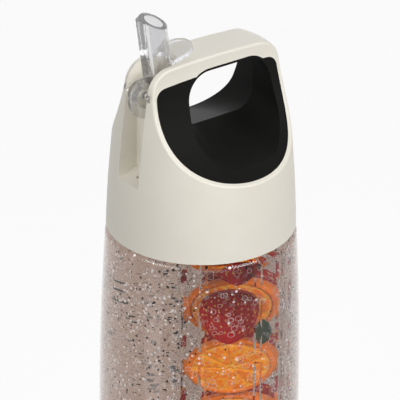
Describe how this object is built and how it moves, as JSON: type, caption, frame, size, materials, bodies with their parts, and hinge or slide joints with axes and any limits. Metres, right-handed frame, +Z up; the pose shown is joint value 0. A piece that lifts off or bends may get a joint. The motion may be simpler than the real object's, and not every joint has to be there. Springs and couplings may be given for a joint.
{
  "type": "fruit infuser water bottle",
  "caption": "Clear water bottle with a looped carry lid, a flip-up drinking spout with straw, and a hanging infuser basket full of cut fruit.",
  "frame": {"origin": "middle of the foot, on the surface that the bottle stands on", "axes": "+Z up along the bottle; the carry bar runs along X with the spout at its -X end; the hand opening goes through along Y"},
  "size_m": [0.09, 0.09, 0.2812],
  "materials": {
    "clear_body": "polished clear copolyester",
    "clear_basket": "polished clear copolyester",
    "clear_spout": "polished clear copolyester",
    "clear_straw": "clear polypropylene",
    "ivory_plastic": "satin polypropylene",
    "soft_black": "matte soft-touch elastomer",
    "silicone": "matte silicone",
    "orange_flesh": "wet fruit flesh",
    "strawberry_flesh": "wet fruit flesh",
    "lime_flesh": "wet fruit flesh",
    "mint": "wet leaf"
  },
  "bodies": {
    "bottle": {"bottle_body": "clear_body"},
    "gasket": {"neck_gasket": "silicone"},
    "lid": {"lid_shell": "ivory_plastic", "grip_liner_front": "soft_black", "grip_liner_back": "soft_black", "lid_insert": "ivory_plastic", "vent_valve": "silicone", "riser_tube": "silicone", "hub_seal": "silicone", "straw_sleeve": "silicone", "straw": "clear_straw"},
    "spout": {"spout": "clear_spout"},
    "infuser": {"infuser_basket": "clear_basket", "orange_slice_1": "orange_flesh", "orange_slice_2": "orange_flesh", "orange_slice_3": "orange_flesh", "orange_slice_4": "orange_flesh", "strawberry_half_1": "strawberry_flesh", "strawberry_half_2": "strawberry_flesh", "strawberry_half_3": "strawberry_flesh", "strawberry_half_4": "strawberry_flesh", "strawberry_half_5": "strawberry_flesh", "strawberry_half_6": "strawberry_flesh", "strawberry_half_7": "strawberry_flesh", "lime_slice_1": "lime_flesh", "lime_slice_2": "lime_flesh", "mint_leaf": "mint"}
  },
  "joints": [
    {"name": "lid_rise", "type": "slide", "parent": "bottle", "child": "gasket", "axis": [0, 0, 1], "range_m": [0, 0.006]},
    {"name": "lid_turn", "type": "hinge", "parent": "gasket", "child": "lid", "pos_m": [0, 0, 0.1803], "axis": [0, 0, 1], "range_deg": [0, 450]},
    {"name": "spout_flip", "type": "hinge", "parent": "lid", "child": "spout", "pos_m": [-0.0325, 0, 0.2488], "axis": [0, -1, 0], "range_deg": [0, 180]},
    {"name": "infuser_twist", "type": "hinge", "parent": "lid", "child": "infuser", "pos_m": [0.012, 0, 0.2], "axis": [0, 0, 1], "range_deg": [0, 60]}
  ],
  "couplings": [
    {"joint": "lid_rise", "follows": "lid_turn", "m_per_rad": 0.00076394}
  ]
}
